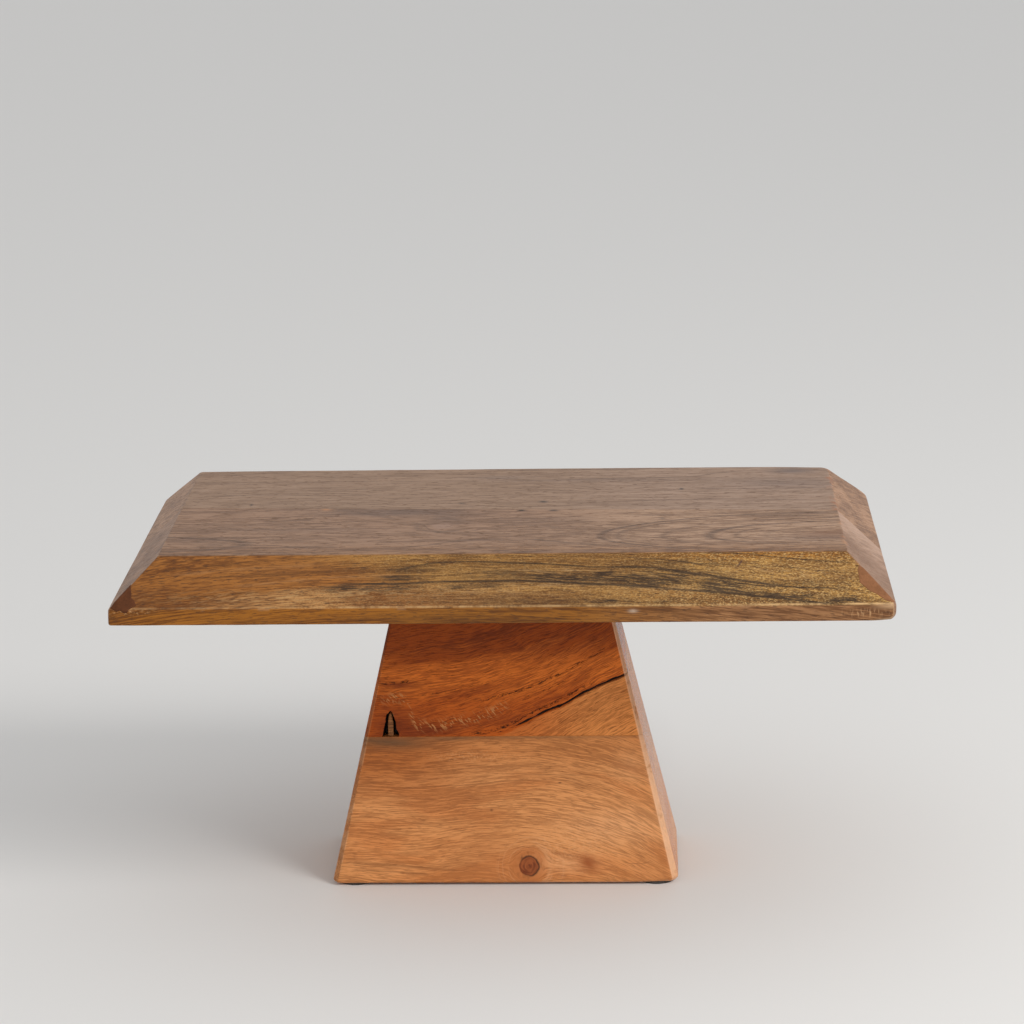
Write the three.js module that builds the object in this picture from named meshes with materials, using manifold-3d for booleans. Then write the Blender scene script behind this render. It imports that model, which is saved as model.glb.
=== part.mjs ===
// Wooden cake stand: a bevelled rectangular slab on a tapered pedestal.
// The slab is two edge-glued boards, the pedestal two stacked blocks, and hidden dowels join them.
// Units are millimetres, +Z is up, +X runs along the slab, and the front faces -Y.
// The origin is on the floor, under the middle of the slab.

import * as THREE from 'three';
import { mergeVertices } from 'three/addons/utils/BufferGeometryUtils.js';
import Module from 'manifold-3d';

const wasm = await Module();
wasm.setup();

// Driving dimensions ---------------------------------------------------------------------------

const OVERALL = { length: 400, depth: 220, height: 200 };
const SLAB = { thickness: 31, band: 8.5, bevelX: 24, bevelY: 22.5, cornerRadius: 2.5, edge: 1 };
const PEDESTAL = { baseX: 188, baseY: 80, topX: 109, topY: 42, offsetX: -3, cornerRadius: 3, edge: 1 };
const LOWER_BLOCK_HEIGHT = 81;
const PAD = { radius: 10, thickness: 1, inset: 1.5, sideInset: 2.5 };
const GLUE_GAP = 0.3;
const CLEARANCE = 0.3;

// The glue line between the boards runs a little askew: its Y at the left and right ends.
const GLUE_LINE = { leftY: 8, rightY: -8 };

const POST_DOWEL = { radius: 5, length: 40, intoSlab: 18, spreadX: 34, spreadY: 10.5 };
const BLOCK_DOWEL = { radius: 5, length: 40, spreadX: 45 };
const BOARD_DOWEL = { radius: 4, length: 40, places: [-130, 0, 130] };
const DOWEL_FLUTES = 12;
const DOWEL_CHAMFER = 1;
const HOLE_SPARE = 1.5;
const HOLE_TIP = 1;

const FILLER_DEPTH = 3;
const FILLER_PROUD = 3;

const PAD_TOP = PAD.thickness;
const BLOCK_JOINT = PAD_TOP + LOWER_BLOCK_HEIGHT;
const SLAB_UNDERSIDE = OVERALL.height - SLAB.thickness;

// Wood-filled chips at the slab's two front corners, each drawn on the front bevel:
// x is the distance in from the slab's end, y the distance up the slope from the bevel's lower edge.
const LEFT_CHIP = [[6, 10.2], [1, 3], [4.6, 0.1], [11.1, -1.7], [14.7, 4.9], [11.7, 10.7], [10.8, 16.5]];
const RIGHT_CHIP = [[0.5, 4.7], [7.2, 11.9], [13, 19.5], [19.4, 22.2], [18.8, 12.9], [8.1, 3.7], [2.2, 0.7]];

// Finishes -------------------------------------------------------------------------------------

const wood = (color) => new THREE.MeshStandardMaterial({ color, roughness: 0.5, metalness: 0 });
const FRONT_WOOD = wood(0x95765f);
const BACK_WOOD = wood(0x8a6a4c);
const UPPER_WOOD = wood(0x8a4f28);
const LOWER_WOOD = wood(0xb87845);
const DOWEL_WOOD = wood(0xd8b98a);
const FILLER = new THREE.MeshStandardMaterial({ color: 0x6b3a1e, roughness: 0.7, metalness: 0 });
const FELT = new THREE.MeshStandardMaterial({ color: 0x241f1b, roughness: 1, metalness: 0 });

// Solids ---------------------------------------------------------------------------------------

function toSolid(geometry) {
  const bare = geometry.index ? geometry.toNonIndexed() : geometry.clone();
  bare.deleteAttribute('normal');
  bare.deleteAttribute('uv');
  const merged = mergeVertices(bare, 1e-4);
  return new wasm.Manifold(new wasm.Mesh({
    numProp: 3,
    vertProperties: new Float32Array(merged.attributes.position.array),
    triVerts: new Uint32Array(merged.index.array),
  }));
}

function toGeometry(solid) {
  const mesh = solid.getMesh();
  const geometry = new THREE.BufferGeometry();
  geometry.setAttribute('position', new THREE.BufferAttribute(mesh.vertProperties, 3));
  geometry.setIndex(new THREE.BufferAttribute(mesh.triVerts, 1));
  geometry.computeVertexNormals();
  return geometry;
}

// One level of a loft: a rectangle with rounded corners, counter-clockwise seen from above.
function roundedRing({ z, halfX, halfY, radius }) {
  const arcSteps = 4;
  const ring = [];
  for (let corner = 0; corner < 4; corner += 1) {
    const signX = corner === 0 || corner === 3 ? 1 : -1;
    const signY = corner < 2 ? 1 : -1;
    for (let step = 0; step <= arcSteps; step += 1) {
      const angle = (corner + step / arcSteps) * Math.PI / 2;
      const x = signX * (halfX - radius) + radius * Math.cos(angle);
      const y = signY * (halfY - radius) + radius * Math.sin(angle);
      ring.push([x, y, z]);
    }
  }
  return ring;
}

// Skins a stack of levels, lowest first, and closes it with flat ends.
function loft(levels) {
  const rings = levels.map(roundedRing);
  const count = rings[0].length;
  const positions = rings.flat(2);
  const triangles = [];
  for (let level = 0; level + 1 < rings.length; level += 1) {
    for (let i = 0; i < count; i += 1) {
      const a = level * count + i;
      const b = level * count + (i + 1) % count;
      triangles.push(a, b, b + count, a, b + count, a + count);
    }
  }
  const lastRing = (rings.length - 1) * count;
  for (let i = 1; i + 1 < count; i += 1) {
    triangles.push(0, i + 1, i, lastRing, lastRing + i, lastRing + i + 1);
  }
  const geometry = new THREE.BufferGeometry();
  geometry.setAttribute('position', new THREE.Float32BufferAttribute(positions, 3));
  geometry.setIndex(triangles);
  return toSolid(geometry);
}

function slabSolid() {
  const { band, bevelX, bevelY, cornerRadius, edge, thickness } = SLAB;
  const halfX = OVERALL.length / 2;
  const halfY = OVERALL.depth / 2;
  const slope = thickness - band;
  const atHeight = (height, inset = 0) => {
    const up = Math.max(0, height - band) / slope;
    return {
      z: SLAB_UNDERSIDE + height,
      halfX: halfX - bevelX * up - inset,
      halfY: halfY - bevelY * up - inset,
      radius: cornerRadius,
    };
  };
  return loft([
    atHeight(0, edge),
    atHeight(edge * 0.3, edge * 0.3),
    atHeight(edge),
    atHeight(band),
    atHeight(thickness - edge * 0.5),
    atHeight(thickness, edge * 0.6),
  ]);
}

function pedestalSolid() {
  const { baseX, baseY, topX, topY, cornerRadius, edge, offsetX } = PEDESTAL;
  const rise = SLAB_UNDERSIDE - PAD_TOP;
  const atHeight = (height, inset = 0) => ({
    z: PAD_TOP + height,
    halfX: baseX / 2 - (baseX - topX) / 2 * height / rise - inset,
    halfY: baseY / 2 - (baseY - topY) / 2 * height / rise - inset,
    radius: cornerRadius,
  });
  const solid = loft([
    atHeight(0, edge),
    atHeight(edge * 0.3, edge * 0.3),
    atHeight(edge),
    atHeight(rise),
  ]);
  return solid.translate([offsetX, 0, 0]);
}

function boxSolid(low, high) {
  const size = high.map((value, i) => value - low[i]);
  const geometry = new THREE.BoxGeometry(...size);
  geometry.translate(...low.map((value, i) => value + size[i] / 2));
  return toSolid(geometry);
}

// Turned shapes stand along +Z, with their middle at the origin.
function turned(profile, segments) {
  const points = profile.map(([r, z]) => new THREE.Vector2(r, z));
  const geometry = new THREE.LatheGeometry(points, segments);
  geometry.rotateX(Math.PI / 2);
  return toSolid(geometry);
}

// A drilled hole with a pointed tip at both ends, so that each half is a blind hole.
function dowelHole({ radius, length }) {
  const wall = radius + CLEARANCE;
  const half = length / 2 + HOLE_SPARE;
  return turned([[0, -half - HOLE_TIP], [wall, -half], [wall, half], [0, half + HOLE_TIP]], 32);
}

// A dowel pin with chamfered ends and straight glue flutes.
function dowelPin({ radius, length }) {
  const fluteDepth = 0.4;
  const points = DOWEL_FLUTES * 4;
  const outline = new THREE.Shape();
  for (let i = 0; i < points; i += 1) {
    const angle = i / points * Math.PI * 2;
    const r = radius - (i % 4 === 0 ? fluteDepth : 0);
    outline[i === 0 ? 'moveTo' : 'lineTo'](r * Math.cos(angle), r * Math.sin(angle));
  }
  const geometry = new THREE.ExtrudeGeometry(outline, { depth: length, bevelEnabled: false });
  geometry.translate(0, 0, -length / 2);
  const half = length / 2;
  const neck = radius - DOWEL_CHAMFER;
  const shoulder = half - DOWEL_CHAMFER;
  const envelope = turned([[0, -half], [neck, -half], [radius + CLEARANCE, -shoulder + CLEARANCE],
    [radius + CLEARANCE, shoulder - CLEARANCE], [neck, half], [0, half]], 48);
  return toSolid(geometry).intersect(envelope);
}

// Moves every edge of a closed outline outwards by the same distance.
function grownOutline(points, distance) {
  const count = points.length;
  const clockwise = THREE.ShapeUtils.area(points) < 0;
  const edgeNormal = (a, b) => {
    const normal = new THREE.Vector2(b.y - a.y, a.x - b.x).normalize();
    return clockwise ? normal.negate() : normal;
  };
  return points.map((point, i) => {
    const before = edgeNormal(points[(i + count - 1) % count], point);
    const after = edgeNormal(point, points[(i + 1) % count]);
    const middle = before.clone().add(after).normalize();
    return point.clone().addScaledVector(middle, distance / middle.dot(before));
  });
}

// A prism square to the front bevel, over a chip's outline. side is -1 at the left end, 1 at the right.
function chipPrism(chip, side, growth) {
  const end = side * OVERALL.length / 2;
  const outline = chip.map(([inward, slope]) => new THREE.Vector2(end - side * inward, slope));
  const shape = new THREE.Shape(grownOutline(outline, growth));
  const depth = FILLER_DEPTH + growth;
  const geometry = new THREE.ExtrudeGeometry(shape, { depth: depth + FILLER_PROUD, bevelEnabled: false });
  geometry.translate(0, 0, -depth);
  const slope = new THREE.Vector3(0, SLAB.bevelY, SLAB.thickness - SLAB.band).normalize();
  const along = new THREE.Vector3(1, 0, 0);
  const outward = new THREE.Vector3().crossVectors(along, slope);
  geometry.applyMatrix4(new THREE.Matrix4().makeBasis(along, slope, outward));
  geometry.translate(0, -OVERALL.depth / 2, SLAB_UNDERSIDE + SLAB.band);
  return toSolid(geometry);
}

// Places ---------------------------------------------------------------------------------------

const glueAngle = Math.atan2(GLUE_LINE.rightY - GLUE_LINE.leftY, OVERALL.length);
const glueDegrees = THREE.MathUtils.radToDeg(glueAngle);

function glueLineY(x) {
  const along = (x + OVERALL.length / 2) / OVERALL.length;
  return THREE.MathUtils.lerp(GLUE_LINE.leftY, GLUE_LINE.rightY, along);
}

// One side of the slab's glue line: side is -1 for the front board, 1 for the back one.
function glueSide(side) {
  const reach = OVERALL.length;
  const near = GLUE_GAP / 2;
  const low = [-reach, side > 0 ? near : -reach, 0];
  const high = [reach, side > 0 ? reach : -near, OVERALL.height * 2];
  return boxSolid(low, high).rotate([0, 0, glueDegrees]).translate([0, glueLineY(0), 0]);
}

const postDowelZ = SLAB_UNDERSIDE + POST_DOWEL.intoSlab - POST_DOWEL.length / 2;
const postDowels = [-1, 1].flatMap((sideY) => [-1, 1].map((sideX) => ({
  name: `post_dowel_${sideY < 0 ? 'front' : 'back'}_${sideX < 0 ? 'left' : 'right'}`,
  shape: POST_DOWEL,
  position: [PEDESTAL.offsetX + sideX * POST_DOWEL.spreadX, sideY * POST_DOWEL.spreadY, postDowelZ],
  turn: [0, 0, 0],
})));

const blockDowels = [-1, 1].map((sideX) => ({
  name: `block_dowel_${sideX < 0 ? 'left' : 'right'}`,
  shape: BLOCK_DOWEL,
  position: [PEDESTAL.offsetX + sideX * BLOCK_DOWEL.spreadX, 0, BLOCK_JOINT],
  turn: [0, 0, 0],
}));

const boardDowels = BOARD_DOWEL.places.map((x, i) => ({
  name: `board_dowel_${['left', 'middle', 'right'][i]}`,
  shape: BOARD_DOWEL,
  position: [x, glueLineY(x), SLAB_UNDERSIDE + SLAB.thickness / 2],
  turn: [90, 0, glueDegrees],
}));

const placed = (solid, { position, turn }) => solid.rotate(turn).translate(position);
const holesFor = (dowels) => wasm.Manifold.union(dowels.map((d) => placed(dowelHole(d.shape), d)));

// Pieces ---------------------------------------------------------------------------------------

const stand = new THREE.Group();

function addPiece(name, solid, material) {
  const mesh = new THREE.Mesh(toGeometry(solid), material);
  mesh.name = name;
  stand.add(mesh);
}

function addBoards() {
  const slab = slabSolid().subtract(holesFor([...postDowels, ...boardDowels]));
  const pockets = chipPrism(LEFT_CHIP, -1, CLEARANCE).add(chipPrism(RIGHT_CHIP, 1, CLEARANCE));
  addPiece('front_board', slab.intersect(glueSide(-1)).subtract(pockets), FRONT_WOOD);
  addPiece('back_board', slab.intersect(glueSide(1)), BACK_WOOD);
}

function addFillers() {
  const slab = slabSolid();
  addPiece('corner_filler_left', slab.intersect(chipPrism(LEFT_CHIP, -1, 0)), FILLER);
  addPiece('corner_filler_right', slab.intersect(chipPrism(RIGHT_CHIP, 1, 0)), FILLER);
}

function addPedestal() {
  const pedestal = pedestalSolid().subtract(holesFor([...postDowels, ...blockDowels]));
  const reach = OVERALL.length;
  const below = boxSolid([-reach, -reach, -reach], [reach, reach, BLOCK_JOINT]);
  const above = boxSolid([-reach, -reach, BLOCK_JOINT], [reach, reach, OVERALL.height * 2]);
  addPiece('pedestal_lower_block', pedestal.intersect(below), LOWER_WOOD);
  addPiece('pedestal_upper_block', pedestal.intersect(above), UPPER_WOOD);
}

function addDowels() {
  for (const dowel of [...postDowels, ...blockDowels, ...boardDowels]) {
    addPiece(dowel.name, placed(dowelPin(dowel.shape), dowel), DOWEL_WOOD);
  }
}

function addPads() {
  const x = PEDESTAL.baseX / 2 - PAD.radius - PAD.sideInset;
  const y = PEDESTAL.baseY / 2 - PAD.radius - PAD.inset;
  for (const sideY of [-1, 1]) {
    for (const sideX of [-1, 1]) {
      const geometry = new THREE.CylinderGeometry(PAD.radius, PAD.radius, PAD.thickness, 40);
      geometry.rotateX(Math.PI / 2);
      geometry.translate(PEDESTAL.offsetX + sideX * x, sideY * y, PAD.thickness / 2);
      const name = `felt_pad_${sideY < 0 ? 'front' : 'back'}_${sideX < 0 ? 'left' : 'right'}`;
      addPiece(name, toSolid(geometry), FELT);
    }
  }
}

addBoards();
addFillers();
addPedestal();
addDowels();
addPads();

export default stand;
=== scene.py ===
"""A wooden cake stand: a bevelled slab of two glued boards on a tapered pedestal of two blocks.

Shapes are worked out in millimetres and handed to Blender in metres, in the CAD model's own frame:
+X runs along the slab, the front faces -Y, and +Z is up. Colours are linear red, green and blue.
"""

import math

import bpy
import numpy as np
from mathutils import Matrix, Vector


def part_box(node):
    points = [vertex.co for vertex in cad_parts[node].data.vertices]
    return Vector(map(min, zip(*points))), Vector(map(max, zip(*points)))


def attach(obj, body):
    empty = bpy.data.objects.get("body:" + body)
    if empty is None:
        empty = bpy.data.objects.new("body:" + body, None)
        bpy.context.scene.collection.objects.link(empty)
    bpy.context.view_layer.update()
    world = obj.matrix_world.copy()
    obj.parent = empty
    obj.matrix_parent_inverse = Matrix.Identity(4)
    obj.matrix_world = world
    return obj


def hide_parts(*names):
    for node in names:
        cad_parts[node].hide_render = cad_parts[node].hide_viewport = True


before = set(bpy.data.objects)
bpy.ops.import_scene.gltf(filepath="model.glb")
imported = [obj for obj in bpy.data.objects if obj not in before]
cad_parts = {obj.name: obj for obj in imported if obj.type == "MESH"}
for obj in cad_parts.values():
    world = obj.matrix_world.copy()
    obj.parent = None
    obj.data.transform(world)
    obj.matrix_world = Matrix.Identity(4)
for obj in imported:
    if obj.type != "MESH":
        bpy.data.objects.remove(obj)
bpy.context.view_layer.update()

MM = 0.001


def box_mm(node):
    """A CAD node's lowest and highest corners, in millimetres."""
    return [np.array(corner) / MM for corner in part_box(node)]


# --- Sizes, from the frame where it holds them ---

FRONT_LOW, FRONT_HIGH = box_mm("front_board")
UPPER_HIGH = box_mm("pedestal_upper_block")[1]
LOWER_LOW, LOWER_HIGH = box_mm("pedestal_lower_block")

SLAB_HALF_X = FRONT_HIGH[0]
SLAB_HALF_Y = -FRONT_LOW[1]
SLAB_BOTTOM = FRONT_LOW[2]
SLAB_TOP = FRONT_HIGH[2]
BAND_TOP = SLAB_BOTTOM + 8.5
BEVEL_X = 24.0
BEVEL_Y = 22.5
GLUE_LEFT_Y = 8.0
GLUE_RIGHT_Y = -8.0
GLUE_GAP = 0.12

POST_MIDDLE_X = (LOWER_LOW[0] + LOWER_HIGH[0]) / 2
POST_BASE = LOWER_LOW[2]
POST_JOINT = LOWER_HIGH[2]
POST_TOP = UPPER_HIGH[2]
POST_BASE_HALF = np.array([94.0, 40.0])
POST_TOP_HALF = np.array([54.5, 21.0])
# The chamfers down the pedestal's corners, measured in along each face, at its foot and at its top.
CHAMFER_FOOT = 2.9
CHAMFER_TOP = 1.1
CHAMFER_TAPER = (CHAMFER_FOOT - CHAMFER_TOP) / (POST_TOP - POST_BASE)

FRONT, BACK = -1, 1
LEFT, RIGHT = -1, 1


# --- Numbers and shapes ---


def smooth(t):
    """A soft step from 0 to 1."""
    t = np.clip(t, 0.0, 1.0)
    return t * t * (3 - 2 * t)


def noise(points, size, seed, octaves=3):
    """Smooth noise from -1 to 1 at each point. size is the width of its largest lumps."""
    cells = 24
    table = np.random.default_rng(seed).uniform(-1, 1, (cells, cells, cells))
    total = np.zeros(len(points))
    for octave in range(octaves):
        place = points * 2**octave / size + 5.3 * octave
        cell = np.floor(place).astype(int)
        part = smooth(place - cell)
        for corner in np.ndindex(2, 2, 2):
            share = np.where(np.array(corner) == 1, part, 1 - part).prod(axis=1)
            i, j, k = ((cell + corner) % cells).T
            total += share * table[i, j, k] / 2**octave
    return total / (2 - 0.5 ** (octaves - 1))


def near(points, place, reach):
    """1 at a place, fading to 0 with the distance from it."""
    return np.exp(-np.sum((points - place) ** 2, axis=1) / reach**2)


GRADING_SAMPLES = 4001


def graded(low, high, step, fine, reach, spots=()):
    """Places from low to high, a step apart, but closer near both ends and near the spots."""
    t = np.linspace(low, high, GRADING_SAMPLES)
    distance = np.min([np.abs(t - spot) for spot in (low, high, *spots)], axis=0)
    gap = fine + (step - fine) * smooth(distance / reach)
    count = np.concatenate([[0.0], np.cumsum(np.diff(t) / gap[1:])])
    return np.interp(np.linspace(0, count[-1], int(round(count[-1])) + 1), count, t)


def box_grid(counts):
    """The skin of a grid of cells: each point's place in the grid, and the faces as quads."""
    number = np.full(counts, -1)
    skin = np.zeros(counts, bool)
    skin[[0, -1]] = skin[:, [0, -1]] = skin[:, :, [0, -1]] = True
    number[skin] = np.arange(skin.sum())
    faces = []

    def side(grid, turned):
        quads = np.stack([grid[:-1, :-1], grid[1:, :-1], grid[1:, 1:], grid[:-1, 1:]], axis=-1)
        quads = quads.reshape(-1, 4)
        faces.append(quads[:, ::-1] if turned else quads)

    side(number[:, :, 0], True)
    side(number[:, :, -1], False)
    side(number[:, 0, :], False)
    side(number[:, -1, :], True)
    side(number[0], True)
    side(number[-1], False)
    return np.argwhere(skin), np.concatenate(faces)


class Solid:
    """A convex solid with flat faces, whose edges can be rounded by a radius that varies."""

    def __init__(self, faces):
        """faces are (outward direction, a point on the face)."""
        self.normals = np.array([np.array(n, float) / np.linalg.norm(n) for n, _ in faces])
        self.offsets = np.array([n @ np.array(p, float) for n, (_, p) in zip(self.normals, faces)])

    def core(self, points, radius, sweeps=30):
        """The nearest place, to each point, in the solid shrunk by the radius there."""
        limits = self.offsets[:, None] - radius[None, :]
        place = points.copy()
        carried = np.zeros((len(self.normals), *points.shape))
        for _ in range(sweeps):
            for i, normal in enumerate(self.normals):
                trial = place + carried[i]
                over = np.maximum(0.0, trial @ normal - limits[i])
                place = trial - over[:, None] * normal
                carried[i] = trial - place
        return place

    def rounded(self, points, radius):
        """The points, brought in onto the solid's rounded edges, and the way out at each one."""
        core = self.core(points, radius)
        out = points - core
        length = np.linalg.norm(out, axis=1)
        way = out / np.maximum(length, 1e-9)[:, None]
        beyond = length > radius
        placed = np.where(beyond[:, None], core + way * radius[:, None], points)
        return placed, np.where((length > radius * 0.98)[:, None], way, 0.0)

    def edge_distance(self, points):
        """How far each point on the skin is from the nearest edge."""
        slack = np.sort(self.offsets[None, :] - points @ self.normals.T, axis=1)
        return np.maximum(slack[:, 1], 0.0)

    def surface_below(self, points, direction, radius_at):
        """Where a line from each point, along direction, meets the rounded solid."""
        place = points.copy()
        for _ in range(16):
            radius = radius_at(place)
            gap = np.linalg.norm(place - self.core(place, radius, sweeps=12), axis=1) - radius
            place += direction * gap[:, None]
        return place


def slab_solid():
    slope_x = (SLAB_TOP - BAND_TOP) / BEVEL_X
    slope_y = (SLAB_TOP - BAND_TOP) / BEVEL_Y
    faces = [((0, 0, -1), (0, 0, SLAB_BOTTOM)), ((0, 0, 1), (0, 0, SLAB_TOP))]
    for side in (-1, 1):
        faces += [
            ((side, 0, 0), (side * SLAB_HALF_X, 0, 0)),
            ((0, side, 0), (0, side * SLAB_HALF_Y, 0)),
            ((side * slope_x, 0, 1), (side * SLAB_HALF_X, 0, BAND_TOP)),
            ((0, side * slope_y, 1), (0, side * SLAB_HALF_Y, BAND_TOP)),
        ]
    return Solid(faces)


POST_LEAN = (POST_BASE_HALF - POST_TOP_HALF) / (POST_TOP - POST_BASE)


def post_solid():
    """The pedestal: four leaning sides, and a narrow tapering chamfer down each corner."""
    faces = [((0, 0, -1), (0, 0, POST_BASE)), ((0, 0, 1), (0, 0, POST_TOP))]
    for side_x in (-1, 1):
        across = np.array([side_x, 0, POST_LEAN[0]])
        faces.append((across, (POST_MIDDLE_X + side_x * POST_BASE_HALF[0], 0, POST_BASE)))
        for side_y in (-1, 1):
            along = np.array([0, side_y, POST_LEAN[1]])
            half_x, half_y = POST_BASE_HALF - CHAMFER_FOOT / 2
            outward = across + along - [0, 0, CHAMFER_TAPER]
            faces.append((outward, (POST_MIDDLE_X + side_x * half_x, side_y * half_y, POST_BASE)))
    for side_y in (-1, 1):
        faces.append(((0, side_y, POST_LEAN[1]), (0, side_y * POST_BASE_HALF[1], POST_BASE)))
    return Solid(faces)


SLAB = slab_solid()
POST = post_solid()


def make_piece(name, points, faces, material, attributes=None):
    """A mesh object from points in millimetres, which stands for the CAD node of its name."""
    mesh = bpy.data.meshes.new(name)
    mesh.from_pydata((points * MM).tolist(), [], faces)
    mesh.polygons.foreach_set("use_smooth", np.ones(len(mesh.polygons), bool))
    for key, values in (attributes or {}).items():
        layer = mesh.attributes.new(key, "FLOAT", "POINT")
        layer.data.foreach_set("value", np.asarray(values, np.float32))
    mesh.materials.append(material)
    piece = bpy.data.objects.new(name, mesh)
    bpy.context.scene.collection.objects.link(piece)
    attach(piece, "root")
    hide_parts(name)
    return piece


# --- Shader building ---


def calculation(operation, swapped=False):
    """An arithmetic method that adds a math node. swapped puts the other value first."""

    def method(signal, other):
        a, b = (other, signal) if swapped else (signal, other)
        return signal.shader.math(operation, a, b)

    return method


class Signal:
    """A shader value that can be added, multiplied and so on like a number."""

    def __init__(self, shader, socket):
        self.shader = shader
        self.socket = socket

    __add__ = calculation("ADD")
    __radd__ = calculation("ADD", swapped=True)
    __sub__ = calculation("SUBTRACT")
    __rsub__ = calculation("SUBTRACT", swapped=True)
    __mul__ = calculation("MULTIPLY")
    __rmul__ = calculation("MULTIPLY", swapped=True)
    __truediv__ = calculation("DIVIDE")
    __rtruediv__ = calculation("DIVIDE", swapped=True)

    def __neg__(self):
        return self * -1.0

    def __abs__(self):
        return self.shader.math("ABSOLUTE", self)

    def cover(self, colour, share):
        """Lays another colour over this one: none of it where share is 0, all of it where 1."""
        self.socket = self.shader.mix(self, colour, share).socket


class Shader:
    """Builds one material from sums and products of signals. Its x, y and z are millimetres."""

    def __init__(self, name):
        self.material = bpy.data.materials.new(name)
        self.material.use_nodes = True
        self.nodes = self.material.node_tree.nodes
        self.links = self.material.node_tree.links
        self.nodes.clear()
        where = self.node("ShaderNodeTexCoord").outputs["Object"]
        split = self.node("ShaderNodeSeparateXYZ")
        self.links.new(where, split.inputs[0])
        self.x, self.y, self.z = (Signal(self, out) / MM for out in split.outputs)

    def node(self, kind, **settings):
        node = self.nodes.new(kind)
        for key, value in settings.items():
            setattr(node, key, value)
        return node

    def feed(self, value, socket):
        if isinstance(value, Signal):
            self.links.new(value.socket, socket)
        elif isinstance(value, tuple):
            socket.default_value = (*value, 1.0)
        else:
            socket.default_value = value

    def math(self, operation, a, b=0.0, c=0.0):
        node = self.node("ShaderNodeMath", operation=operation)
        for value, socket in zip((a, b, c), node.inputs):
            self.feed(value, socket)
        return Signal(self, node.outputs[0])

    def lower(self, a, b):
        return self.math("MINIMUM", a, b)

    def higher(self, a, b):
        return self.math("MAXIMUM", a, b)

    def noise(self, x, y, z, detail=2.0, rough=0.5):
        """Cloudy noise about 0.5; each argument is a place counted in noise lumps."""
        place = self.node("ShaderNodeCombineXYZ")
        for value, socket in zip((x, y, z), place.inputs):
            self.feed(value, socket)
        node = self.node("ShaderNodeTexNoise")
        self.links.new(place.outputs[0], node.inputs["Vector"])
        node.inputs["Scale"].default_value = 1.0
        node.inputs["Detail"].default_value = detail
        node.inputs["Roughness"].default_value = rough
        return Signal(self, node.outputs[0])

    def step(self, value, low, high):
        """A soft step: 0 at low and 1 at high. Low may be the greater."""
        node = self.node("ShaderNodeMapRange", interpolation_type="SMOOTHSTEP")
        for given, key in ((value, "Value"), (low, "From Min"), (high, "From Max")):
            self.feed(given, node.inputs[key])
        return Signal(self, node.outputs[0])

    def curve(self, value, points):
        """A smooth curve through given points (value, result)."""
        ins = [p[0] for p in points]
        outs = [p[1] for p in points]
        span = ins[-1] - ins[0]
        rise = max(outs) - min(outs) or 1.0
        node = self.node("ShaderNodeFloatCurve")
        line = node.mapping.curves[0]
        while len(line.points) < len(points):
            line.points.new(0.5, 0.5)
        for knot, (given, result) in zip(line.points, points):
            knot.location = ((given - ins[0]) / span, (result - min(outs)) / rise)
        node.mapping.update()
        self.feed((value - ins[0]) / span, node.inputs["Value"])
        return Signal(self, node.outputs[0]) * rise + min(outs)

    def hump(self, distance, width):
        """1 where distance is 0, fading over width on both sides."""
        ratio = distance / width
        return self.math("EXPONENT", -(ratio * ratio))

    def spot(self, dx, dy, width, height):
        """1 at the middle of an oval blotch, fading outwards."""
        a, b = dx / width, dy / height
        return self.math("EXPONENT", -(a * a + b * b))

    def spots(self, x, y, places):
        """Blotches, each (x, y, half width, half height, strength)."""
        total = 0.0
        for at_x, at_y, width, height, strength in places:
            total = self.spot(x - at_x, y - at_y, width, height) * strength + total
        return self.lower(total, 1.0)

    def strokes(self, x, y, lines):
        """Lines along given paths, each (points, reach above, reach below, strength)."""
        total = 0.0
        for points, above, below, strength in lines:
            height = y - self.curve(x, points)
            across = self.step(height, above, 0.0) * self.step(height, -below, 0.0)
            start, end = points[0][0], points[-1][0]
            fade = (end - start) * 0.12
            along = self.step(x, start, start + fade) * self.step(x, end, end - fade)
            total = self.higher(across * along * strength, total)
        return total

    def rings(self, x, y, middle_x, middle_y, stretch):
        """Distance from a middle, counted so that ovals stretched along x are level."""
        a, b = (x - middle_x) / stretch, y - middle_y
        return self.math("SQRT", a * a + b * b)

    def ramp(self, value, stops):
        node = self.node("ShaderNodeValToRGB")
        marks = node.color_ramp.elements
        while len(marks) < len(stops):
            marks.new(0.5)
        for mark, (place, colour) in zip(marks, stops):
            mark.position = place
            mark.color = (*colour, 1.0)
        self.feed(value, node.inputs[0])
        return Signal(self, node.outputs[0])

    def mix(self, a, b, share):
        node = self.node("ShaderNodeMix", data_type="RGBA")
        self.feed(share, node.inputs[0])
        self.feed(a, node.inputs[6])
        self.feed(b, node.inputs[7])
        return Signal(self, node.outputs[2])

    def attribute(self, name):
        node = self.node("ShaderNodeAttribute", attribute_name=name)
        return Signal(self, node.outputs["Fac"])

    def finish(self, colour, roughness, height=None, specular=0.5, sheen=0.0):
        """Wires the look into a principled surface. height is in millimetres."""
        surface = self.node("ShaderNodeBsdfPrincipled")
        self.feed(colour, surface.inputs["Base Color"])
        self.feed(roughness, surface.inputs["Roughness"])
        surface.inputs["Specular IOR Level"].default_value = specular
        surface.inputs["Sheen Weight"].default_value = sheen
        if height is not None:
            bump = self.node("ShaderNodeBump")
            bump.inputs["Distance"].default_value = MM
            self.feed(height, bump.inputs["Height"])
            self.links.new(bump.outputs[0], surface.inputs["Normal"])
        output = self.node("ShaderNodeOutputMaterial")
        self.links.new(surface.outputs[0], output.inputs[0])
        return self.material


# --- Wood ---

PORE_BROWN = (0.06, 0.024, 0.01)
# How much the streaks and the fibres count in the wood's tone, where its broad bands count 1.
STREAK_SHARE = 0.6
FIBRE_SHARE = 1.8


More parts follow.
